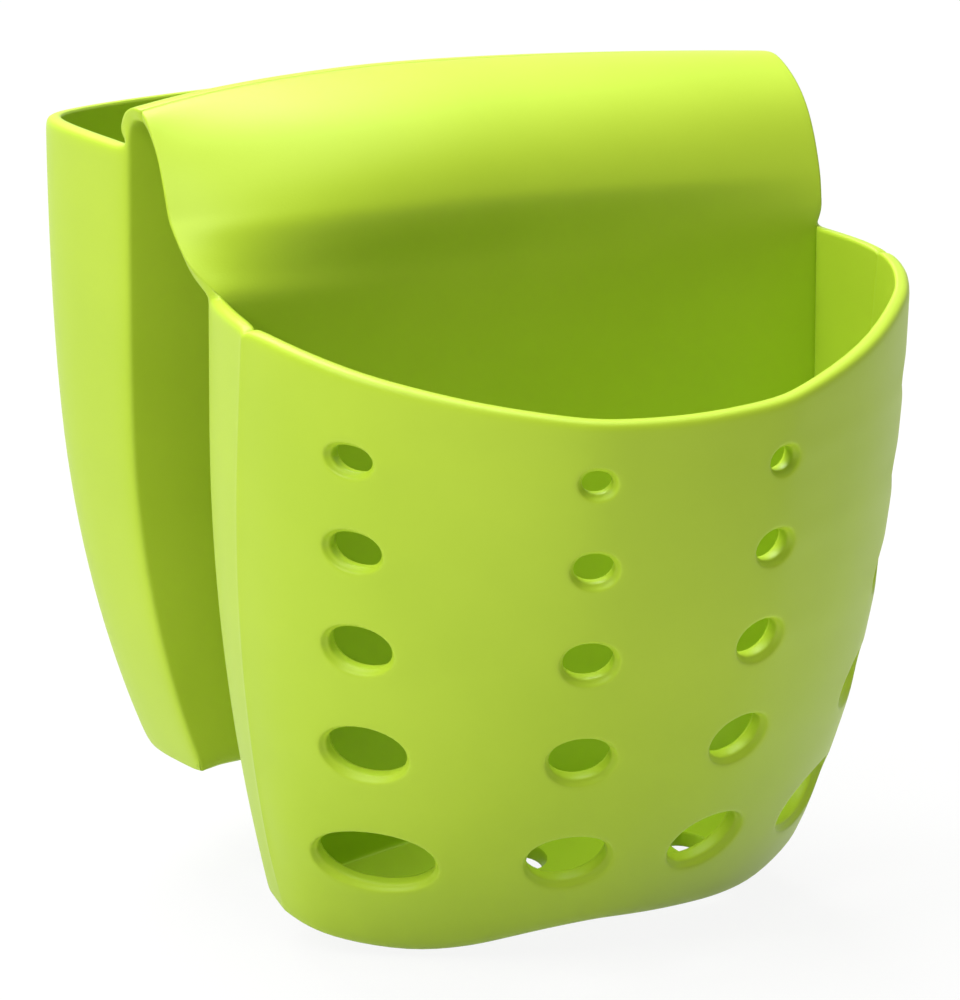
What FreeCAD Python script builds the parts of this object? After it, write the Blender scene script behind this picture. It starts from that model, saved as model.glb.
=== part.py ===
import FreeCAD, Part
import math
import os
import Sketcher

# Driving sizes of the sponge holder, in millimetres and degrees.
# Heights in a pocket are above that pocket's own base.
SIZES = {
    # moulded wall and floor
    "wall": 2.6,
    "floor_thickness": 2.6,
    # front pocket
    "front_height": 113.3,
    "front_half_width": 58.0,
    "front_taper_start": 21.9,
    "front_taper_radius": 343.0,
    "front_bulge": 2.5,
    "front_depth": 71.7,
    "front_curve_radius": 177.6,
    "front_corner_radius": 38.4,
    "front_face_radius": 62.2,
    "front_rim_dip": 7.3,
    "front_rim_slope": 2.1,
    "front_floor_rise": 12.5,
    "front_floor_arch": 10.0,
    "front_floor_slope": 9.6,
    # rear pocket, hung higher on the strap
    "rear_height": 113.0,
    "rear_half_width": 60.1,
    "rear_taper_start": 45.7,
    "rear_taper_radius": 181.2,
    "rear_bulge": 2.7,
    "rear_depth": 62.4,
    "rear_curve_radius": 287.0,
    "rear_corner_radius": 19.8,
    "rear_face_radius": 82.6,
    "rear_rim_dip": 4.3,
    "rear_rim_slope": 3.0,
    "rear_floor_rise": 1.5,
    "rear_floor_arch": 1.5,
    "rear_floor_slope": 2.0,
    "rear_rise": 19.8,
    # saddle strap, from the front pocket over the divider to the rear pocket
    "slot_width": 28.5,
    "strap_base_radius": 15.0,
    "strap_angle": 30.0,
    "strap_leg": 6.5,
    "shoulder_radius": 24.0,
    "roof_angle": 63.0,
    "fold_radius": 2.6,
    "fold_leg": 1.5,
    "hinge_clearance": 0.3,
    # oval holes of the front wall, rows counted from the top
    "hole_top_drop": 20.3,
    "hole_bottom_row": 18.9,
    "hole_step_ratio": 0.12,
    "hole_top_width": 7.4,
    "hole_width_growth": 2.1,
    "hole_top_height": 6.0,
    "hole_height_growth": 1.5,
    "inner_column_angle": 14.4,
    "outer_column_angle": 50.3,
    "outer_column_rise": 2.0,
    "outer_column_width_ratio": 1.3,
    "bottom_row_spread": 0.08,
    # round drain holes of both floors
    "drain_diameter": 9.6,
    "drain_spacing": 32.6,
    "drain_offset": 15.3,
    "front_drain_shift": 9.7,
}

HOLE_ROWS = 5
SECTION_STEPS = 6
# Pocket forms run on past what is kept of them: this share in height, this many walls behind.
FORM_OVERRUN = 1.2
FORM_BACK_WALLS = 3
# Cutting tools reach this far past what they cut.
TOOL_REACH = 200.0

doc = FreeCAD.newDocument("sponge_holder")
sheet = doc.addObject("Spreadsheet::Sheet", "Sheet")
for row, (alias, amount) in enumerate(SIZES.items(), start=1):
    sheet.set(f"A{row}", alias)
    sheet.set(f"B{row}", str(amount))
    sheet.setAlias(f"B{row}", alias)
doc.recompute()


def size(alias):
    """Reference to one sheet cell inside an expression."""
    return f"Sheet.{alias}"


def number(expression):
    """Present value of an expression, for a sketch's first guess."""
    return float(sheet.evalExpression(expression))


def origin_plane(body, role):
    """The body's own origin plane with that role."""
    return next(plane for plane in body.Origin.OriginFeatures if plane.Role == role)


def place(thing, y, z, turn_axis="vector(0; 0; 1)", turn="0"):
    """Put an object on the plane of symmetry at y and z, turned about an axis."""
    spot = f"vector(0; {y}; {z})"
    thing.setExpression("Placement", f"placement({spot}; rotation({turn_axis}; {turn}))")
    return thing


def new_sketch(body, name, role):
    """Empty sketch on one of the body's own origin planes."""
    sketch = body.newObject("Sketcher::SketchObject", name)
    sketch.AttachmentSupport = [(origin_plane(body, role), "")]
    sketch.MapMode = "FlatFace"
    return sketch


def drive(sketch, sizes):
    """Add named dimensions to a sketch and tie each to its expression."""
    for name, (constraint, expression) in sizes.items():
        spot = sketch.addConstraint(constraint)
        sketch.renameConstraint(spot, name)
        sketch.setExpression(f"Constraints.{name}", expression)


def arc(x, y, radius, start, end):
    """Counter-clockwise sketch arc from one angle to another."""
    circle = Part.Circle(FreeCAD.Vector(x, y, 0), FreeCAD.Vector(0, 0, 1), radius)
    return Part.ArcOfCircle(circle, start, end)


def line(start, end):
    """Sketch line between two points."""
    return Part.LineSegment(FreeCAD.Vector(*start, 0), FreeCAD.Vector(*end, 0))


def boolean(kind, name, base, tool):
    """Part boolean of two objects."""
    result = doc.addObject(f"Part::{kind}", name)
    result.Base = base
    result.Tool = tool
    return result


def fuse_all(name, shapes):
    """One tool from several."""
    result = doc.addObject("Part::MultiFuse", name)
    result.Shapes = shapes
    return result


def symmetric_pad(body, name, sketch, length):
    """Pad of a sketch to both sides of its plane."""
    pad = body.newObject("PartDesign::Pad", name)
    pad.Profile = sketch
    pad.SideType = "Symmetric"
    pad.setExpression("Length", length)
    body.Tip = pad
    return body


# Shape rules of both pockets: the outline shrinks along arcs below the rim.
def drop(pocket, level):
    return f"({size(pocket + '_height')} - {level})"


def local_depth(pocket, level):
    radius = size(pocket + "_curve_radius")
    depth = size(pocket + "_depth")
    return f"({depth} - {radius} + sqrt({radius} ^ 2 - {drop(pocket, level)} ^ 2))"


def local_half_width(pocket, level):
    radius = size(pocket + "_taper_radius")
    past = f"max({drop(pocket, level)} - {size(pocket + '_taper_start')}; 0)"
    return f"({size(pocket + '_half_width')} - {radius} + sqrt({radius} ^ 2 - {past} ^ 2))"


def pocket_section(body, pocket, index, level, inset):
    """Level outline of a pocket: bulged sides, round corners, bowed front and a spare strip behind."""
    depth = local_depth(pocket, level)
    share = f"({depth} / {size(pocket + '_depth')})"
    half_back = f"({local_half_width(pocket, level)} - {inset})"
    half_widest = f"({half_back} + {size(pocket + '_bulge')} * {share})"
    corner = f"({size(pocket + '_corner_radius')} * {share} ^ 2 - {inset})"
    face = f"({size(pocket + '_face_radius')} - {inset})"
    face_centre = f"({size(pocket + '_face_radius')} - {depth})"
    strip = f"({FORM_BACK_WALLS} * {size('wall')})"

    back = number(half_back)
    widest = number(half_widest)
    corner_r = number(corner)
    face_r = number(face)
    face_y = number(face_centre)
    behind = number(strip)
    corner_x = widest - corner_r
    corner_y = face_y - math.sqrt((face_r - corner_r) ** 2 - corner_x ** 2)
    side_r = ((widest - back) ** 2 + corner_y ** 2) / (2 * (widest - back))
    side_x = widest - side_r
    side_turn = math.asin(-corner_y / side_r)
    turn = math.atan2(corner_y - face_y, corner_x)

    sketch = new_sketch(body, f"{body.Name}_section_{index}", "XY_Plane")
    sketch.setExpression("AttachmentOffset.Base.z", level)
    sketch.addGeometry([
        line((-back, behind), (back, behind)),
        arc(side_x, corner_y, side_r, 0, side_turn),
        arc(corner_x, corner_y, corner_r, turn, 0),
        arc(0, face_y, face_r, math.pi - turn, 2 * math.pi + turn),
        arc(-corner_x, corner_y, corner_r, math.pi, math.pi - turn),
        arc(-side_x, corner_y, side_r, math.pi - side_turn, math.pi),
        line((back, 0), (back, behind)),
        line((-back, behind), (-back, 0)),
    ])
    rule = Sketcher.Constraint
    sketch.addConstraint([
        rule("Coincident", 0, 2, 6, 2),
        rule("Coincident", 6, 1, 1, 2),
        rule("Tangent", 1, 1, 2, 2),
        rule("Tangent", 2, 1, 3, 2),
        rule("Tangent", 3, 1, 4, 2),
        rule("Tangent", 4, 1, 5, 2),
        rule("Coincident", 5, 1, 7, 2),
        rule("Coincident", 7, 1, 0, 1),
        rule("PointOnObject", 6, 1, -1),
        rule("Symmetric", 7, 2, 6, 1, -2),
        rule("Vertical", 6),
        rule("Vertical", 7),
        rule("Horizontal", 0),
        rule("PointOnObject", 3, 3, -2),
        rule("Equal", 2, 4),
        rule("Horizontal", 2, 3, 2, 2),
        rule("Horizontal", 4, 3, 4, 1),
    ])
    drive(sketch, {
        "back_width": (rule("DistanceX", 0, 1, 0, 2, 2 * back), f"2 * {half_back}"),
        "right_reach": (rule("DistanceX", -1, 1, 2, 2, widest), half_widest),
        "left_reach": (rule("DistanceX", 4, 1, -1, 1, widest), half_widest),
        "corner": (rule("Radius", 2, corner_r), corner),
        "face": (rule("Radius", 3, face_r), face),
        "face_centre": (rule("DistanceY", -1, 1, 3, 3, face_y), face_centre),
        "strip": (rule("DistanceY", 6, 1, 6, 2, behind), strip),
    })
    return sketch


def pocket_form(pocket, kind, inset, panel_height):
    """Solid through the stacked outlines of one pocket, from its base past its top."""
    body = doc.addObject("PartDesign::Body", f"{pocket}_{kind}")
    top = f"({panel_height} * {FORM_OVERRUN})"
    sections = []
    for index in range(SECTION_STEPS + 1):
        level = f"({top} * {index} / {SECTION_STEPS})"
        sections.append(pocket_section(body, pocket, index, level, inset))
    loft = body.newObject("PartDesign::AdditiveLoft", f"{body.Name}_loft")
    loft.Profile = sections[0]
    loft.Sections = sections[1:]
    body.Tip = loft
    return body


def cross_cylinder(name, radius, centre_height, slope):
    """Long cylinder that lies across a pocket from back to front, falling by slope."""
    cylinder = doc.addObject("Part::Cylinder", name)
    cylinder.setExpression("Radius", radius)
    cylinder.Height = 2 * TOOL_REACH
    lift = f"({centre_height} + {TOOL_REACH} * tan({slope}))"
    return place(cylinder, str(TOOL_REACH), lift, "vector(1; 0; 0)", f"90 + {slope}")


def slab(name, thickness, height):
    """Wide plate that runs back from the panel's pocket side, from the base up."""
    box = doc.addObject("Part::Box", name)
    box.Length = 2 * TOOL_REACH
    box.setExpression("Width", thickness)
    box.setExpression("Height", height)
    spot = f"vector({-TOOL_REACH}; -{size('wall')}; 0)"
    box.setExpression("Placement", f"placement({spot}; rotation(vector(0; 0; 1); 0))")
    return box


def drain_tool(pocket, shift):
    """Pair of round drain holes along a floor, shifted to one side."""
    drills = []
    for side in (-1, 1):
        drill = doc.addObject("Part::Cylinder", f"{pocket}_drain")
        drill.setExpression("Radius", f"{size('drain_diameter')} / 2")
        drill.Height = 2 * TOOL_REACH
        across = f"({shift} + {side} * {size('drain_spacing')} / 2)"
        spot = f"vector({across}; -{size('drain_offset')}; {-TOOL_REACH})"
        drill.setExpression("Placement", f"placement({spot}; rotation(vector(0; 0; 1); 0))")
        drills.append(drill)
    return fuse_all(f"{pocket}_drains", drills)


def row_steps(row):
    """Steps from the top row down to this one, each larger than the last by the step ratio."""
    return f"({row} + {row} * ({row} - 1) / 2 * {size('hole_step_ratio')})"


def oval_tool(row, side, angle, rise, widening):
    """Oval punch that points outwards from inside the pocket, at one row's height."""
    top = f"({size('front_height')} - {size('hole_top_drop')})"
    reach = f"({top} - {size('hole_bottom_row')})"
    level = f"({top} - {reach} * {row_steps(row)} / {row_steps(HOLE_ROWS - 1)}"
    level += f" + {rise} * (1 - {row} / {HOLE_ROWS - 1}))"
    width = f"({size('hole_top_width')} + {row} * {size('hole_width_growth')}) * {widening}"
    height = f"({size('hole_top_height')} + {row} * {size('hole_height_growth')})"
    oval = doc.addObject("Part::Ellipse", "oval")
    oval.setExpression("MajorRadius", f"{width} / 2")
    oval.setExpression("MinorRadius", f"{height} / 2")
    place(oval, f"-{size('front_depth')} / 2", level, "vector(1; 0; 0)", "90")
    punch = doc.addObject("Part::Extrusion", "punch")
    punch.Base = oval
    punch.DirMode = "Custom"
    punch.Dir = FreeCAD.Vector(0, -1, 0)
    punch.LengthFwd = TOOL_REACH
    punch.Solid = True
    spread = f"(1 + {size('bottom_row_spread')} * ({row} / {HOLE_ROWS - 1}) ^ 3)"
    return place(punch, "0", "0", turn=f"{side} * {angle} * {spread}")


def hole_tool():
    """All oval holes of the front wall: an inner and an outer column on each side."""
    punches = []
    for row in range(HOLE_ROWS):
        for side in (-1, 1):
            inner = size("inner_column_angle")
            outer = size("outer_column_angle")
            rise = size("outer_column_rise")
            widening = size("outer_column_width_ratio")
            punches.append(oval_tool(row, side, inner, "0", "1"))
            punches.append(oval_tool(row, side, outer, rise, widening))
    return fuse_all("oval_holes", punches)


def bow_radius(half_span, bow):
    """Radius of an arc that bows by that much over that half span."""
    return f"(({half_span} ^ 2 + {bow} ^ 2) / (2 * {bow}))"


def pocket(name, panel_height, wall_holes, drain_shift):
    """Wall, panel and floor of one pocket, in the pocket's own place."""
    wall = size("wall")
    floor_slope = size(name + "_floor_slope")
    arch_radius = bow_radius(local_half_width(name, "0"), size(name + "_floor_arch"))
    arch_centre = f"({size(name + '_floor_rise')} - {arch_radius} / cos({floor_slope}))"
    dip = size(name + "_rim_dip")
    rim_radius = bow_radius(size(name + "_half_width"), dip)
    rim_centre = f"({size(name + '_height')} - {dip} + {rim_radius})"
    outside = pocket_form(name, "form", "0", panel_height)
    hollow = pocket_form(name, "hollow", wall, panel_height)
    below = cross_cylinder(name + "_below", arch_radius, arch_centre, floor_slope)
    floor_radius = f"({arch_radius} + {size('floor_thickness')})"
    to_floor = cross_cylinder(name + "_to_floor", floor_radius, arch_centre, floor_slope)
    above = cross_cylinder(name + "_above", rim_radius, rim_centre, size(name + "_rim_slope"))
    back = slab(name + "_back", wall, panel_height)
    behind = slab(name + "_behind", str(TOOL_REACH), str(TOOL_REACH))

    plate = boolean("Common", name + "_plate", outside, back)
    panel = boolean("Cut", name + "_panel", plate, below)

    shell = boolean("Cut", name + "_shell", outside, hollow)
    trims = [behind, to_floor, above] + wall_holes
    side_wall = boolean("Cut", name + "_wall", shell, fuse_all(name + "_trims", trims))

    base = boolean("Common", name + "_base", outside, to_floor)
    floor_trims = fuse_all(name + "_floor_trims", [behind, below, drain_tool(name, drain_shift)])
    floor = boolean("Cut", name + "_floor", base, floor_trims)
    return [panel, side_wall, floor]


def strap_band(name, radius, turn, leg):
    """Band that turns about its own origin from straight up, then runs on as a flat leg."""
    body = doc.addObject("PartDesign::Body", name + "_band")
    wall = size("wall")
    inner_r = number(radius)
    outer_r = inner_r + number(wall)
    lean = math.radians(number(turn))
    run = number(leg)
    out = (-math.cos(lean), math.sin(lean))
    along = (math.sin(lean), math.cos(lean))
    inner = (inner_r * out[0], inner_r * out[1])
    outer = (outer_r * out[0], outer_r * out[1])
    inner_end = (inner[0] + run * along[0], inner[1] + run * along[1])
    outer_end = (outer[0] + run * along[0], outer[1] + run * along[1])

    sketch = new_sketch(body, name + "_profile", "YZ_Plane")
    sketch.addGeometry([
        arc(0, 0, inner_r, math.pi - lean, math.pi),
        arc(0, 0, outer_r, math.pi - lean, math.pi),
        line((-inner_r, 0), (-outer_r, 0)),
        line(inner, inner_end),
        line(outer, outer_end),
        line(inner_end, outer_end),
    ])
    rule = Sketcher.Constraint
    sketch.addConstraint([
        rule("Coincident", 0, 3, -1, 1),
        rule("Coincident", 1, 3, -1, 1),
        rule("PointOnObject", 0, 2, -1),
        rule("PointOnObject", 1, 2, -1),
        rule("Coincident", 2, 1, 0, 2),
        rule("Coincident", 2, 2, 1, 2),
        rule("Tangent", 3, 1, 0, 1),
        rule("Tangent", 4, 1, 1, 1),
        rule("Coincident", 5, 1, 3, 2),
        rule("Coincident", 5, 2, 4, 2),
        rule("Parallel", 3, 4),
        rule("Perpendicular", 5, 3),
    ])
    drive(sketch, {
        "inner_radius": (rule("Radius", 0, inner_r), radius),
        "outer_radius": (rule("Radius", 1, outer_r), f"{radius} + {wall}"),
        "lean": (rule("Angle", 3, math.pi / 2 - lean), f"90 - {turn}"),
        "leg": (rule("Distance", 3, run), leg),
    })
    return symmetric_pad(body, name + "_pad", sketch, str(2 * TOOL_REACH))


def strap_outline(rear_level, high):
    """Front view of the strap: its edges run straight from the front panel's top to the rear one's."""
    body = doc.addObject("PartDesign::Body", "strap_outline")
    narrow = size("front_half_width")
    wide = f"({narrow} + ({size('rear_half_width')} - {narrow}) * {high} / {rear_level})"
    corners = [
        (-number(narrow), 0),
        (number(narrow), 0),
        (number(wide), number(high)),
        (-number(wide), number(high)),
    ]
    sketch = new_sketch(body, "strap_front_view", "XZ_Plane")
    sketch.addGeometry([line(corners[side], corners[(side + 1) % 4]) for side in range(4)])
    rule = Sketcher.Constraint
    sketch.addConstraint([rule("Coincident", side, 2, (side + 1) % 4, 1) for side in range(4)])
    sketch.addConstraint([
        rule("Symmetric", 0, 1, 0, 2, -2),
        rule("Symmetric", 2, 1, 2, 2, -2),
        rule("PointOnObject", 0, 1, -1),
    ])
    drive(sketch, {
        "low_width": (rule("DistanceX", 0, 1, 0, 2, 2 * corners[1][0]), f"2 * {narrow}"),
        "high_width": (rule("DistanceX", 2, 2, 2, 1, 2 * corners[2][0]), f"2 * {wide}"),
        "high_height": (rule("DistanceY", -1, 1, 2, 1, corners[2][1]), high),
    })
    return symmetric_pad(body, "strap_outline_pad", sketch, str(2 * TOOL_REACH))


# Course of the strap's underside, one point at the end of each band.
lean = size("strap_angle")
roof = size("roof_angle")
leg = size("strap_leg")
base_r = size("strap_base_radius")
shoulder_r = size("shoulder_radius")
fold_r = size("fold_radius")
gap = size("hinge_clearance")
slot = size("slot_width")

hinge_y = f"({base_r} * (1 - cos({lean})) + {leg} * sin({lean}))"
hinge_z = f"({base_r} * sin({lean}) + {leg} * cos({lean}))"
crown_y = f"({hinge_y} + {gap} * sin({lean}))"
crown_z = f"({hinge_z} + {gap} * cos({lean}))"
roof_start_y = f"({crown_y} + {shoulder_r} * (cos({lean}) - cos({roof})))"
roof_start_z = f"({crown_z} + {shoulder_r} * (sin({roof}) - sin({lean})))"
roof_rise_y = f"({slot} - {roof_start_y} - {fold_r} * (1 + cos({roof})))"
roof_leg = f"({roof_rise_y} / sin({roof}))"
fold_y = f"({slot} - {fold_r})"
fold_z = f"({roof_start_z} + {roof_leg} * cos({roof}) - {fold_r} * sin({roof}))"
strap_top = f"({fold_z} + {fold_r} + {size('wall')})"
rear_top = f"({fold_z} - {size('fold_leg')} - {gap})"

# Bands of the strap, each turned to where the last one ends.
outline = strap_outline(rear_top, strap_top)
strap_bands = [
    ("front_strap", base_r, lean, leg, base_r, "0", "0"),
    (
        "saddle_crown", shoulder_r, f"({roof} - {lean})", roof_leg,
        f"({crown_y} + {shoulder_r} * cos({lean}))",
        f"({crown_z} - {shoulder_r} * sin({lean}))",
        f"-{lean}",
    ),
    ("rear_fold", fold_r, f"(180 - {roof})", size("fold_leg"), fold_y, fold_z, f"-{roof}"),
]
strap_nodes = []
for name, radius, turn, run, centre_y, centre_z, pose in strap_bands:
    band = place(strap_band(name, radius, turn, run), centre_y, centre_z, "vector(1; 0; 0)", pose)
    strap_nodes.append(boolean("Common", name, band, outline))

# The two pockets, one on each side of the divider.
front_base = f"-{size('front_height')}"
rear_base = f"({size('rear_rise')} - {size('rear_height')})"
front_nodes = pocket("front", size("front_height"), [hole_tool()], size("front_drain_shift"))
rear_nodes = pocket("rear", f"({rear_top} - {rear_base})", [], "0")

# The origin is the middle of the divider slot, level with the strap's lower end.
for node in strap_nodes:
    place(node, f"-{slot} / 2", "0")
for node in front_nodes:
    place(node, f"-{slot} / 2", front_base)
for node in rear_nodes:
    place(node, f"{slot} / 2", rear_base, turn="180")

doc.recompute()
nodes = strap_nodes + front_nodes + rear_nodes
failed = [thing.Name for thing in doc.Objects if {"Invalid", "Error"} & set(thing.State)]
if failed:
    raise RuntimeError(f"failed objects: {failed}")
for node in nodes:
    if node.Shape.isNull() or not node.Shape.isValid() or len(node.Shape.Solids) != 1:
        raise RuntimeError(f"{node.Label} is not one valid solid")

os.makedirs("parts", exist_ok=True)
for node in nodes:
    box = node.Shape.BoundBox
    spans = [f"{low:.1f}..{high:.1f}" for low, high in zip(
        (box.XMin, box.YMin, box.ZMin), (box.XMax, box.YMax, box.ZMax))]
    print(node.Label, f"{node.Shape.Volume:.0f} mm3", *spans)
    node.Shape.exportStep(f"parts/{node.Label}.step")
print("front hinge y z", number(f"{hinge_y} - {slot} / 2"), number(hinge_z))
print("rear hinge y z", number(f"{slot} / 2"), number(rear_top))
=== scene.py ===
import math

import bmesh
import bpy
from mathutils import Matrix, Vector


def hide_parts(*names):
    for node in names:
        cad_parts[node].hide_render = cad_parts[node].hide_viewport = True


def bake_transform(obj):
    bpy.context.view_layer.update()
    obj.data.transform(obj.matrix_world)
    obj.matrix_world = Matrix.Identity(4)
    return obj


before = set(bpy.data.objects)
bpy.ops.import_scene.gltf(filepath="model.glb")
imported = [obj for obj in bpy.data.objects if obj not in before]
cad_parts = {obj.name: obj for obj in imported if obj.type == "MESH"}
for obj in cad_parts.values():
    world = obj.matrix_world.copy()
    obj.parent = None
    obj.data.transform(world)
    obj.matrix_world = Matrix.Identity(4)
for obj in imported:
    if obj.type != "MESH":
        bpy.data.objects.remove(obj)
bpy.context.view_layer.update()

# Front half of the holder: the perforated wall, the panel against the divider, the arched floor and the
# saddle strap. The real one is a single sheet of soft lime-green plastic, moulded in one shot, with a
# fine parting line down each side and a sunk lip round every hole. Sizes are in millimetres.
millimetre = 0.001
wall_thickness = 2.6
slot_half_width = 14.25
front = {
    "height": 113.3,
    "half_width": 58.0,
    "taper_start": 21.9,
    "taper_radius": 343.0,
    "bulge": 2.5,
    "depth": 71.7,
    "curve_radius": 177.6,
    "corner_radius": 38.4,
    "face_radius": 62.2,
    "rim_dip": 7.5,
    "rim_slope": 2.1,
}


def back_half_width(pocket, level):
    """Half width of a pocket's flat back at one height above its base."""
    radius = pocket["taper_radius"]
    past = max(pocket["height"] - level - pocket["taper_start"], 0)
    return pocket["half_width"] - radius + math.sqrt(radius ** 2 - past ** 2)


def wall_point(pocket, azimuth, level):
    """Where a level ray from the middle of the back leaves the pocket's bowed wall."""
    drop = pocket["height"] - level
    curve = pocket["curve_radius"]
    depth = pocket["depth"] - curve + math.sqrt(curve ** 2 - drop ** 2)
    share = depth / pocket["depth"]
    back = back_half_width(pocket, level)
    widest = back + pocket["bulge"] * share
    corner = pocket["corner_radius"] * share ** 2
    face = pocket["face_radius"]
    face_y = face - depth
    corner_x = widest - corner
    corner_y = face_y - math.sqrt((face - corner) ** 2 - corner_x ** 2)
    side = ((widest - back) ** 2 + corner_y ** 2) / (2 * (widest - back))
    turn_x = corner_x * face / (face - corner)
    turn_y = face_y + (corner_y - face_y) * face / (face - corner)
    angle = math.radians(abs(azimuth))
    if angle < math.atan2(turn_x, -turn_y):
        centre, radius = Vector((0, face_y)), face
    elif angle < math.atan2(widest, -corner_y):
        centre, radius = Vector((corner_x, corner_y)), corner
    else:
        centre, radius = Vector((widest - side, corner_y)), side
    ray = Vector((math.sin(angle), -math.cos(angle)))
    reach = ray.dot(centre) + math.sqrt(ray.dot(centre) ** 2 - centre.length_squared + radius ** 2)
    return Vector((math.copysign(ray.x, azimuth) * reach, ray.y * reach, level))


def rim_level(pocket, azimuth):
    """Height of the dished rim, which is highest where it runs into the back."""
    radius = (pocket["half_width"] ** 2 + pocket["rim_dip"] ** 2) / (2 * pocket["rim_dip"])
    level = pocket["height"]
    for _ in range(4):
        spot = wall_point(pocket, azimuth, level)
        rise = radius - math.sqrt(radius ** 2 - spot.x ** 2)
        fall = -spot.y * math.tan(math.radians(pocket["rim_slope"]))
        level = pocket["height"] - pocket["rim_dip"] + rise - fall
    return level


# The lower edge arches up in front and at the back corners, and comes down to two feet between.
# The right-hand foot has warped upwards.
foot_azimuth = 58.0
foot_level = -1.8
front_arch = 5.9
corner_lift = 9.4
right_lift = 4.2
warp_start = 5.0
warp_reach = 50.0


def front_base_level(azimuth):
    """Height of the front wall's lower edge."""
    inside = min(abs(azimuth) / foot_azimuth, 1)
    beyond = max(abs(azimuth) - foot_azimuth, 0) / (90 - foot_azimuth)
    arch = front_arch * math.cos(math.pi / 2 * inside) ** 2
    warped = min(max(azimuth - warp_start, 0) / warp_reach, 1)
    warp = right_lift * math.sin(math.pi / 2 * warped) ** 2
    return foot_level + arch + corner_lift * math.sin(math.pi / 2 * beyond) ** 2 + warp


# Four columns of five oval holes, which grow and lie wider apart towards the base.
hole_rows = 5
hole_top = 93.0
hole_bottom = 18.9
hole_step_ratio = 0.12
inner_azimuth = 14.4
outer_azimuth = 50.3
outer_rise = 2.0
most_rise = 1.2
# Azimuth of each column of holes, and the degrees by which it has wandered outwards at the bottom row.
hole_columns = {
    (-1, "outer"): (outer_azimuth, 3.9),
    (-1, "inner"): (inner_azimuth, -0.45),
    (1, "inner"): (inner_azimuth, 5.8),
    (1, "outer"): (57.5, 0.6),
}


def hole_level(row, azimuth):
    """Height of one row of holes: rows lie wider apart lower down and lift towards the sides."""
    def steps(count):
        return count + count * (count - 1) / 2 * hole_step_ratio
    lift = (abs(azimuth) - inner_azimuth) / (outer_azimuth - inner_azimuth)
    lift = outer_rise * min(max(lift, 0), most_rise) * (1 - row / (hole_rows - 1))
    return hole_top - (hole_top - hole_bottom) * steps(row) / steps(hole_rows - 1) + lift


# Half width of a lip in the top row, its growth from row to row, and what the bottom row has beyond that.
outer_lip_width = (5.9, 1.1, 2.6)
inner_lip_width = (4.3, 1.0, 1.0)
# Half height of a lip in the top row, and its growth from row to row.
outer_lip_height = (3.8, 0.85)
inner_lip_height = (3.6, 0.75)


def lip_half_width(row, outer):
    """Half width of one hole, measured to the outside of its lip."""
    top, growth, extra = outer_lip_width if outer else inner_lip_width
    return top + growth * row + extra * (row / (hole_rows - 1)) ** 6


def lip_half_height(row, outer):
    """Half height of one hole, measured to the outside of its lip."""
    top, growth = outer_lip_height if outer else inner_lip_height
    return top + growth * row


# The parting line of the mould runs down each side, a little further back towards the base.
parting_top = 71.5
parting_drift = 9.0
parting_half_width = 0.6

# Grid lines across one half of the sheet: what they follow on the wall, and their share of the panel.
parting_line = ("parting", 0, 0.91)
half_columns = [
    ("inner", -1, 0.12),
    ("inner", 0, 0.24),
    ("inner", 1, 0.36),
    ("between", 0, 0.50),
    ("outer", -1, 0.60),
    ("outer", 0, 0.70),
    ("outer", 1, 0.79),
    ("side", 0, 0.855),
    ("parting", -1, 0.895),
    parting_line,
    ("parting", 1, 0.925),
    ("back", 0.4, 0.95),
    ("back", 0.85, 0.978),
    ("back", 1, 1.0),
]
columns = [(-1, *column) for column in reversed(half_columns)]
columns += [(1, "middle", 0, 0.0)]
columns += [(1, *column) for column in half_columns]
middle_column = len(half_columns)

# Grid lines along the wall from the rim down: what they mark and which row of holes they belong to.
wall_lines = [("rim", 0), ("under_rim", 0), ("neck", 0)]
for row in range(hole_rows):
    wall_lines += [("top", row), ("middle", row), ("bottom", row)]
    if row < hole_rows - 1:
        wall_lines.append(("between", row))
wall_lines += [("low", hole_rows - 1), ("edge", hole_rows - 1)]
rim_band = 2.4
edge_round = 4.5
round_share = 0.45
oval_corner = 0.72
line_lift = 12.0
lift_start = 68.0


def line_level(mark, row, azimuth):
    """Height of one grid line of the front wall."""
    outer = abs(azimuth) > (inner_azimuth + outer_azimuth) / 2

    def marked(at_row, edge):
        level = hole_level(at_row, azimuth) + edge * lip_half_height(at_row, outer)
        rise = line_lift * (max(abs(azimuth) - lift_start, 0) / (90 - lift_start)) ** 1.5
        return level + rise * (1 - level / front["height"])
    rim = rim_level(front, azimuth)
    base = front_base_level(azimuth)
    if mark == "rim":
        return rim
    if mark == "under_rim":
        return rim - rim_band
    if mark == "neck":
        return (rim + marked(row, 1)) / 2
    if mark == "between":
        return (marked(row, -1) + marked(row + 1, 1)) / 2
    if mark == "low":
        return base + min(edge_round, (marked(row, -1) - base) * round_share)
    if mark == "edge":
        return base
    return marked(row, {"top": 1, "middle": 0, "bottom": -1}[mark])


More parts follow.
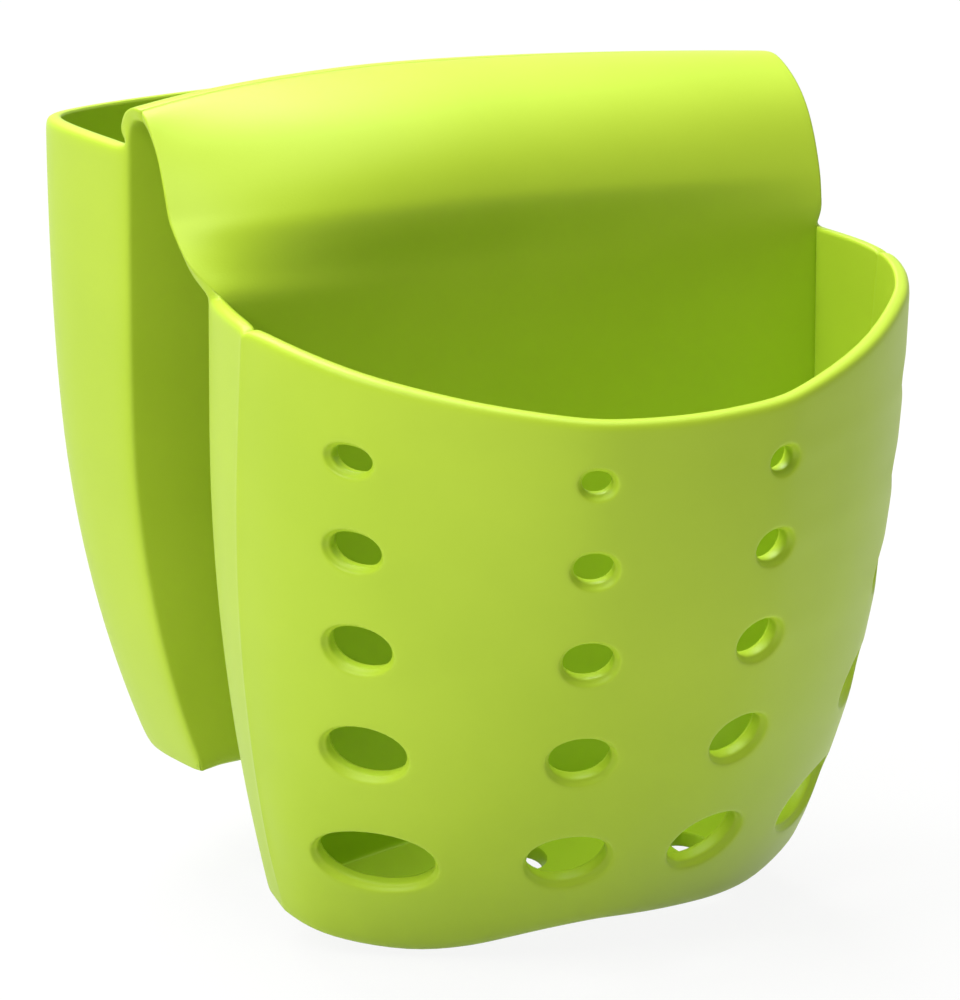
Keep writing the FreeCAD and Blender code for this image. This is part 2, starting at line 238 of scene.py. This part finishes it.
def column_azimuth(side, follows, step, mark, row):
    """Azimuth at which one grid line across the sheet crosses one grid line along the wall."""
    def hole_side(outer, edge):
        azimuth, drift = hole_columns[side, "outer" if outer else "inner"]
        azimuth += drift * (row / (hole_rows - 1)) ** 3
        half = lip_half_width(row, outer)
        if mark in ("top", "bottom"):
            half *= oval_corner
        reach = wall_point(front, azimuth, hole_level(row, azimuth)).xy.length
        return azimuth + edge * math.degrees(math.atan(half / reach))
    level = line_level(mark, row, parting_top)
    parting = parting_top + parting_drift * (1 - level / front["height"])
    if follows in ("inner", "outer"):
        azimuth = hole_side(follows == "outer", step)
    elif follows == "between":
        azimuth = (hole_side(False, 1) + hole_side(True, -1)) / 2
    elif follows == "side":
        azimuth = (hole_side(True, 1) + parting) / 2
    elif follows == "parting":
        azimuth = parting + step * parting_half_width
    elif follows == "back":
        azimuth = parting + (90 - parting) * step
    else:
        azimuth = 0
    return side * azimuth


# The right-hand corner of the rim has been pulled outwards in use.
rim_pull = 1.3
pull_start = 40.0
pull_from = 0.45


def front_wall_spot(column, mark, row):
    """Place of one grid crossing on the front wall, in the pocket's own frame."""
    side, follows, step, _ = columns[column]
    azimuth = column_azimuth(side, follows, step, mark, row)
    level = line_level(mark, row, azimuth)
    if mark in ("top", "bottom") and follows in ("inner", "outer") and step:
        centre = line_level("middle", row, azimuth)
        level = centre + (level - centre) * oval_corner
    spot = wall_point(front, azimuth, level)
    high = min(max(level / front["height"] - pull_from, 0) / (1 - pull_from), 1)
    corner = min(max(azimuth - pull_start, 0) / (90 - pull_start), 1)
    pull = rim_pull * high ** 2 * math.sin(math.pi * corner) ** 2
    spot.xy *= 1 + pull / spot.xy.length
    return spot


# Course of the strap's underside from the front panel to the ridge: left end, peak and right end,
# as y and z. The strap has taken a set in use: its left end leans back and flares, its right end droops.
strap_course = [
    ((-11.2, 2.2), (-14.25, 2.6), (-14.1, 2.6)),
    ((-8.9, 4.2), (-14.5, 5.6), (-13.7, 4.6)),
    ((-6.5, 6.3), (-14.9, 8.6), (-13.2, 6.3)),
    ((-4.9, 7.9), (-15.15, 11.1), (-12.8, 7.3)),
    ((-3.8, 9.0), (-15.1, 12.2), (-12.5, 8.0)),
    ((-2.7, 10.1), (-14.7, 13.3), (-12.1, 8.9)),
    ((-1.15, 12.6), (-13.5, 15.8), (-10.9, 11.4)),
    ((0.35, 14.9), (-11.4, 18.7), (-8.8, 15.0)),
    ((2.1, 17.2), (-8.4, 21.5), (-6.2, 18.2)),
    ((3.75, 19.4), (-4.6, 23.9), (-3.0, 20.6)),
    ((5.6, 21.4), (-0.3, 25.7), (0.9, 22.4)),
    ((7.3, 23.1), (4.4, 27.0), (4.9, 23.6)),
    ((8.9, 24.35), (8.6, 27.85), (7.6, 23.3)),
    ((10.4, 24.65), (10.3, 28.0), (9.4, 22.9)),
]
strap_peak = -0.33
low_twist = 4.5
high_twist = 3.2
twist_change = 8.0
droop_curve = 1.55
strap_narrowing = 0.7
strap_neck = 3.0
strap_widening = 0.075
left_flare = 2.4
flare_end = 19.0


def strap_spot(station, share, spread=0):
    """Place on the strap's underside at a station of its course and a share of its width."""
    left, peak, right = station
    upper = min(max(left[1] - twist_change, 0) / twist_change, 1)
    to_left = max(-share, 0) ** (low_twist + (high_twist - low_twist) * upper)
    to_right = (max(share - strap_peak, 0) / (1 - strap_peak)) ** droop_curve
    y, z = (
        peak[axis] + (left[axis] - peak[axis]) * to_left + (right[axis] - peak[axis]) * to_right
        for axis in (0, 1)
    )
    neck = min(z / strap_neck, 1)
    half_width = front["half_width"] - strap_narrowing * neck + strap_widening * z
    half_width += left_flare * neck * max(1 - z / flare_end, 0) * max(-share, 0)
    return Vector((share * (half_width + spread), y, z))


# Floor: arched across, falling towards the front, with two round drain holes a little off the middle.
floor_rise = 11.8
floor_arch = 8.0
floor_slope = 9.6
floor_shares = (0.1, 0.26, 0.44, 0.62, 0.8, 0.92)
drain_radius = 4.8
drain_offset = 15.3
drain_line = 2
# Grid column and place across of each drain hole.
front_drains = {13: -6.6, 18: 26.0}


def round_drain(spot, column, line, drains):
    """Move a grid crossing beside a drain hole on to the hole's edge."""
    along = line - drain_line
    for drain_column, centre in drains.items():
        across = column - drain_column
        if abs(across) < 2 and abs(along) < 2:
            reach = drain_radius * (oval_corner if across and along else 1)
            spot.x = centre + across * reach
            spot.y = -drain_offset - along * reach


def floor_level(x, y):
    """Height of the floor's underside away from its rounded outer edge."""
    across = x / back_half_width(front, 0)
    return floor_rise - floor_arch * across ** 2 + y * math.tan(math.radians(floor_slope))


def panel_foot(share):
    """Height of the panel's arched lower edge, which lifts again at its corners."""
    level = floor_level(share * back_half_width(front, 0), 0)
    corner = front_base_level(math.copysign(90, share))
    return level + (corner - floor_level(back_half_width(front, 0), 0)) * abs(share) ** 8


def floor_spot(column, line):
    """Place on the underside of the front floor, from the panel out to the wall."""
    share = columns[column][0] * columns[column][3]
    start = Vector((share * back_half_width(front, 0), 0, panel_foot(share)))
    end = front_wall_spot(column, "edge", hole_rows - 1)
    spot = start.lerp(end, floor_shares[line])
    round_drain(spot, column, line, front_drains)
    to_panel = (panel_foot(share) - floor_level(start.x, 0)) * (1 - floor_shares[line])
    to_wall = (end.z - floor_level(end.x, end.y)) * floor_shares[line] ** 3
    spot.z = floor_level(spot.x, spot.y) + to_panel + to_wall
    return spot


def front_spot(column, line):
    """Place of any grid crossing of the front half, in the shared frame."""
    side, _, _, share = columns[column]
    share *= side
    to_frame = Vector((0, -slot_half_width, -front["height"]))
    if line < len(strap_course):
        return strap_spot(strap_course[-1 - line], share)
    line -= len(strap_course)
    if line < len(wall_lines):
        corner = math.copysign(90, share)
        rim, edge = line_level("rim", 0, corner), line_level("edge", hole_rows - 1, corner)
        height = (line_level(*wall_lines[line], corner) - edge) / (rim - edge)
        level = panel_foot(share) + (rim - panel_foot(share)) * height
        return Vector((share * back_half_width(front, level), 0, level)) + to_frame
    line -= len(wall_lines)
    if line < len(floor_shares):
        return floor_spot(column, line) + to_frame
    line -= len(floor_shares)
    return front_wall_spot(column, *wall_lines[-1 - line]) + to_frame


def sheet_grid(column_count, line_count):
    """Flat sheet of quads, with each vertex's column and line number."""
    mesh = bmesh.new()
    bmesh.ops.create_grid(mesh, x_segments=column_count - 1, y_segments=line_count - 1, size=0.5)
    places = {}
    for vertex in mesh.verts:
        column = round((vertex.co.x + 0.5) * (column_count - 1))
        line = round((vertex.co.y + 0.5) * (line_count - 1))
        places[column, line] = vertex
    return mesh, places


def open_hole(mesh, centre_vertex, lip):
    """Take out the faces round one vertex and turn the edge that is left into a rounded lip."""
    centre = centre_vertex.co.copy()
    inward = -centre_vertex.normal
    ring = {edge for face in centre_vertex.link_faces for edge in face.edges}
    ring -= set(centre_vertex.link_edges)
    bmesh.ops.delete(mesh, geom=[centre_vertex], context="VERTS")
    ring = [edge for edge in ring if edge.is_valid]
    for step, sink in lip:
        made = bmesh.ops.extrude_edge_only(mesh, edges=ring)["geom"]
        ring = [part for part in made if isinstance(part, bmesh.types.BMEdge) and part.is_boundary]
        for vertex in {vertex for edge in ring for vertex in edge.verts}:
            vertex.co += (centre - vertex.co).normalized() * step + inward * sink
        centre += inward * sink


front_lines = len(strap_course) + 2 * len(wall_lines) + len(floor_shares)
front_mesh, front_places = sheet_grid(len(columns), front_lines)
for (column, line), vertex in front_places.items():
    vertex.co = front_spot(column, line)

# The flash on the parting line stands out a little, and the rim has a nick where it ends.
wall_start = front_lines - len(wall_lines)
flash_height = {-1: 0.4, 1: 0.2}
plain_lines = 2
nick_depth = 1.1
for side in (-1, 1):
    column = middle_column + side * (half_columns.index(parting_line) + 1)
    for line in range(wall_start + plain_lines, front_lines):
        vertex = front_places[column, line]
        vertex.co.x += side * flash_height[side]
    front_places[column, front_lines - 1].co.z -= nick_depth

front_mesh.normal_update()
# Each ring of a lip: its step towards the hole's middle and how far it sinks.
hole_lip = ((0.5, 0.2), (0.5, 0.9), (0.6, 0.15))
drain_lip = ((0.3, 0.05), (0.3, 0.1))
for line in range(wall_start, front_lines):
    mark, row = wall_lines[front_lines - 1 - line]
    for column, (side, follows, step, _) in enumerate(columns):
        if mark == "middle" and follows in ("inner", "outer") and step == 0:
            open_hole(front_mesh, front_places[column, line], hole_lip)
for column in front_drains:
    drain_vertex = front_places[column, len(strap_course) + len(wall_lines) + drain_line]
    open_hole(front_mesh, drain_vertex, drain_lip)


def skin_object(name, mesh, ridge):
    """Sheet with its full thickness and softly rounded edges; its ridge edge stays square."""
    crease = mesh.edges.layers.float.new("crease_edge")
    for edge in mesh.edges:
        if edge.is_boundary and all(vertex in ridge for vertex in edge.verts):
            edge[crease] = 1
    bmesh.ops.remove_doubles(mesh, verts=mesh.verts, dist=0.01)
    bmesh.ops.scale(mesh, vec=Vector((millimetre, millimetre, millimetre)), verts=mesh.verts)
    data = bpy.data.meshes.new(name)
    mesh.to_mesh(data)
    mesh.free()
    data.shade_smooth()
    skin = bpy.data.objects.new(name, data)
    bpy.context.scene.collection.objects.link(skin)
    thick = skin.modifiers.new("thickness", "SOLIDIFY")
    thick.thickness = wall_thickness * millimetre
    thick.offset = -1
    thick.use_quality_normals = True
    thick.edge_crease_inner = 0.6
    smooth = skin.modifiers.new("rounding", "SUBSURF")
    smooth.levels = 2
    smooth.render_levels = 2
    return skin


front_ridge = {front_places[column, 0] for column in range(len(columns))}
front_skin = skin_object("front_pocket_and_saddle", front_mesh, front_ridge)

# Lime plastic of the whole holder: satin, a little cloudy, with a very fine mould grain.
lime = bpy.data.materials.new("lime_soft_plastic")
lime.use_nodes = True
lime_nodes = lime.node_tree.nodes
lime_links = lime.node_tree.links
satin = lime_nodes["Principled BSDF"]
satin.inputs["Specular IOR Level"].default_value = 0.24
where = lime_nodes.new("ShaderNodeTexCoord")
cloud = lime_nodes.new("ShaderNodeTexNoise")
cloud.inputs["Scale"].default_value = 28
cloud.inputs["Detail"].default_value = 3
tint = lime_nodes.new("ShaderNodeValToRGB")
tint.color_ramp.elements[0].position = 0.3
tint.color_ramp.elements[0].color = (0.415, 0.585, 0.030, 1)
tint.color_ramp.elements[1].position = 0.7
tint.color_ramp.elements[1].color = (0.450, 0.620, 0.036, 1)
gloss = lime_nodes.new("ShaderNodeMapRange")
gloss.inputs["To Min"].default_value = 0.36
gloss.inputs["To Max"].default_value = 0.48
grain = lime_nodes.new("ShaderNodeTexNoise")
grain.inputs["Scale"].default_value = 2600
grain.inputs["Detail"].default_value = 2
relief = lime_nodes.new("ShaderNodeBump")
relief.inputs["Strength"].default_value = 0.08
relief.inputs["Distance"].default_value = 0.0002
lime_links.new(where.outputs["Object"], cloud.inputs["Vector"])
lime_links.new(where.outputs["Object"], grain.inputs["Vector"])
lime_links.new(cloud.outputs["Fac"], tint.inputs["Fac"])
lime_links.new(cloud.outputs["Fac"], gloss.inputs["Value"])
lime_links.new(grain.outputs["Fac"], relief.inputs["Height"])
lime_links.new(tint.outputs["Color"], satin.inputs["Base Color"])
lime_links.new(gloss.outputs["Result"], satin.inputs["Roughness"])
lime_links.new(relief.outputs["Normal"], satin.inputs["Normal"])
front_skin.data.materials.append(lime)
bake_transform(front_skin)
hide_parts("front_wall", "front_panel", "front_floor", "front_strap", "saddle_crown")

# Rear half: the folded end of the strap, the panel on the divider's other face, a floor with drain
# holes and a plain bowed wall. It is the same sheet of plastic and hangs higher than the front pocket.
rear = {
    "height": 113.0,
    "half_width": 60.6,
    "taper_start": 45.7,
    "taper_radius": 181.2,
    "bulge": 2.7,
    "depth": 62.4,
    "curve_radius": 287.0,
    "corner_radius": 19.8,
    "face_radius": 82.6,
    "rim_dip": 4.3,
    "rim_slope": 3.0,
}
rear_rise = 19.8
rear_sag = 1.6
rear_floor_rise = 0.8
rear_floor_arch = 1.5
rear_floor_slope = 2.0
rear_azimuths = [0, 9, 18, 26.5, 34, 40.5, 46, 51, 56, 61, 66, 71, 77, 85.5, 90]
rear_azimuths = [-azimuth for azimuth in rear_azimuths[:0:-1]] + rear_azimuths
fold_course = [
    strap_course[-1],
    ((11.9, 24.95), (12.0, 28.15), (11.2, 22.5)),
    ((13.3, 24.4), (13.4, 27.5), (12.9, 21.9)),
    ((14.1, 23.2), (14.15, 26.1), (13.9, 21.3)),
    ((14.25, 21.8), (14.25, 24.2), (14.25, 20.6)),
]
fold_spread = 1.4
rear_wall_shares = (0, 0.022, 0.1, 0.22, 0.36, 0.5, 0.64, 0.78, 0.89, 0.96, 1)
rear_floor_shares = (0.12, 0.28, 0.44, 0.6, 0.85)
rear_drains = {11: -16.3, 17: 16.3}


def rear_floor_level(x, y):
    """Height of the rear floor's underside."""
    across = min(abs(x) / back_half_width(rear, 0), 1)
    return rear_floor_rise - rear_floor_arch * across ** 2 + y * math.tan(math.radians(rear_floor_slope))


def rear_wall_spot(azimuth, share):
    """Place on the rear wall, at a share of the way from its rim to its base."""
    top = rim_level(rear, azimuth) - rear_sag * math.sin(math.radians(2 * max(azimuth, 0))) ** 2
    base = wall_point(rear, azimuth, 0)
    return wall_point(rear, azimuth, top + (rear_floor_level(base.x, base.y) - top) * share)


def rear_spot(column, line):
    """Place of any grid crossing of the rear half, in the shared frame."""
    azimuth = rear_azimuths[column]
    share = columns[column][0] * columns[column][3]
    if line < len(fold_course):
        return strap_spot(fold_course[line], share, fold_spread * line / (len(fold_course) - 1))
    line -= len(fold_course)
    if line < len(rear_wall_shares):
        foot = rear_floor_level(share * back_half_width(rear, 0), 0)
        level = rear["height"] + (foot - rear["height"]) * rear_wall_shares[line]
        spot = Vector((share * back_half_width(rear, level), 0, level))
    elif line < len(rear_wall_shares) + len(rear_floor_shares):
        line -= len(rear_wall_shares)
        start = Vector((share * back_half_width(rear, 0), 0, 0))
        spot = start.lerp(rear_wall_spot(azimuth, 1), rear_floor_shares[line])
        round_drain(spot, column, line, rear_drains)
        spot.z = rear_floor_level(spot.x, spot.y)
    else:
        line -= len(rear_wall_shares) + len(rear_floor_shares)
        spot = rear_wall_spot(azimuth, rear_wall_shares[-1 - line])
    return Vector((spot.x, slot_half_width - spot.y, spot.z + rear_rise - rear["height"]))


rear_lines = len(fold_course) + 2 * len(rear_wall_shares) + len(rear_floor_shares)
rear_mesh, rear_places = sheet_grid(len(rear_azimuths), rear_lines)
for (column, line), vertex in rear_places.items():
    vertex.co = rear_spot(column, line)
bmesh.ops.reverse_faces(rear_mesh, faces=rear_mesh.faces)
rear_mesh.normal_update()
for column in rear_drains:
    drain_vertex = rear_places[column, len(fold_course) + len(rear_wall_shares) + drain_line]
    open_hole(rear_mesh, drain_vertex, drain_lip)
rear_ridge = {rear_places[column, 0] for column in range(len(columns))}
rear_skin = skin_object("rear_pocket_and_fold", rear_mesh, rear_ridge)
rear_skin.data.materials.append(lime)
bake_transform(rear_skin)
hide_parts("rear_wall", "rear_panel", "rear_floor", "rear_fold")

# Plain pale floor under the holder, and a white room round it.
floor_height = -0.11505
floor_size = 6
floor_mesh = bmesh.new()
bmesh.ops.create_grid(floor_mesh, x_segments=1, y_segments=1, size=floor_size)
bmesh.ops.translate(floor_mesh, vec=Vector((0, 0, floor_height)), verts=floor_mesh.verts)
floor_data = bpy.data.meshes.new("floor")
floor_mesh.to_mesh(floor_data)
floor_mesh.free()
floor = bpy.data.objects.new("floor", floor_data)
bpy.context.scene.collection.objects.link(floor)
paper = bpy.data.materials.new("white_paper")
paper.use_nodes = True
paper_nodes = paper.node_tree.nodes
paper_links = paper.node_tree.links
matt = paper_nodes["Principled BSDF"]
matt.inputs["Base Color"].default_value = (0.82, 0.82, 0.82, 1)
matt.inputs["Roughness"].default_value = 0.9
glow = paper_nodes.new("ShaderNodeEmission")
glow.inputs["Strength"].default_value = 1.0
mixed = paper_nodes.new("ShaderNodeMixShader")


def seen_rays(nodes, links, share):
    """Share that counts only for rays from the camera, by reflection or through glass."""
    rays = nodes.new("ShaderNodeLightPath")
    both = nodes.new("ShaderNodeMath")
    both.operation = "MAXIMUM"
    every = nodes.new("ShaderNodeMath")
    every.operation = "MAXIMUM"
    scaled = nodes.new("ShaderNodeMath")
    scaled.operation = "MULTIPLY"
    scaled.inputs[1].default_value = share
    links.new(rays.outputs["Is Camera Ray"], both.inputs[0])
    links.new(rays.outputs["Is Glossy Ray"], both.inputs[1])
    links.new(both.outputs[0], every.inputs[0])
    links.new(rays.outputs["Is Transmission Ray"], every.inputs[1])
    links.new(every.outputs[0], scaled.inputs[0])
    return scaled.outputs[0]


paper_links.new(seen_rays(paper_nodes, paper_links, 0.9), mixed.inputs[0])
paper_links.new(matt.outputs[0], mixed.inputs[1])
paper_links.new(glow.outputs[0], mixed.inputs[2])
paper_links.new(mixed.outputs[0], paper_nodes["Material Output"].inputs["Surface"])
floor.data.materials.append(paper)

world = bpy.data.worlds.new("white_room")
bpy.context.scene.world = world
world.use_nodes = True
room_nodes = world.node_tree.nodes
room_links = world.node_tree.links
room = room_nodes["Background"]
room.inputs["Color"].default_value = (1, 1, 1, 1)
room.inputs["Strength"].default_value = 0.12
backdrop = room_nodes.new("ShaderNodeBackground")
backdrop.inputs["Strength"].default_value = 1.0
room_mix = room_nodes.new("ShaderNodeMixShader")
room_links.new(seen_rays(room_nodes, room_links, 1.0), room_mix.inputs[0])
room_links.new(room.outputs[0], room_mix.inputs[1])
room_links.new(backdrop.outputs[0], room_mix.inputs[2])
room_links.new(room_mix.outputs[0], room_nodes["World Output"].inputs["Surface"])


# Soft boxes of the photo studio: one high on the left, one overhead and one behind.
def soft_box(name, spot, aim, width, power):
    """Square soft box at one spot, aimed at another."""
    data = bpy.data.lights.new(name, "AREA")
    data.shape = "SQUARE"
    data.size = width
    data.energy = power
    lamp = bpy.data.objects.new(name, data)
    lamp.location = spot
    lamp.rotation_euler = (Vector(aim) - Vector(spot)).to_track_quat("-Z", "Y").to_euler()
    bpy.context.scene.collection.objects.link(lamp)


lamp_aim = (0, 0, -0.03)
soft_box("left_box", (-0.8, -0.2, 0.8), lamp_aim, 0.7, 10.5)
soft_box("top_box", (0.0, 0.0, 1.1), lamp_aim, 0.9, 8)
soft_box("back_box", (0.0, 0.6, 0.9), lamp_aim, 0.7, 12)

# Camera where the photographer stood: well back, a little left of the front, looking slightly down.
camera_azimuth = math.radians(-25.35)
camera_rise = math.radians(16.27)
camera_reach = 1.7235
look_at = Vector((-0.00677, -0.01384, -0.0421))
camera_data = bpy.data.cameras.new("camera")
camera_data.lens = 360
camera_data.sensor_width = 36
camera_data.clip_end = 20
camera = bpy.data.objects.new("camera", camera_data)
towards = Vector((
    math.sin(camera_azimuth) * math.cos(camera_rise),
    -math.cos(camera_azimuth) * math.cos(camera_rise),
    math.sin(camera_rise),
))
camera.location = look_at + towards * camera_reach
camera.rotation_euler = (-towards).to_track_quat("-Z", "Y").to_euler()
bpy.context.scene.collection.objects.link(camera)
bpy.context.scene.camera = camera
bpy.context.scene.view_settings.view_transform = "Standard"
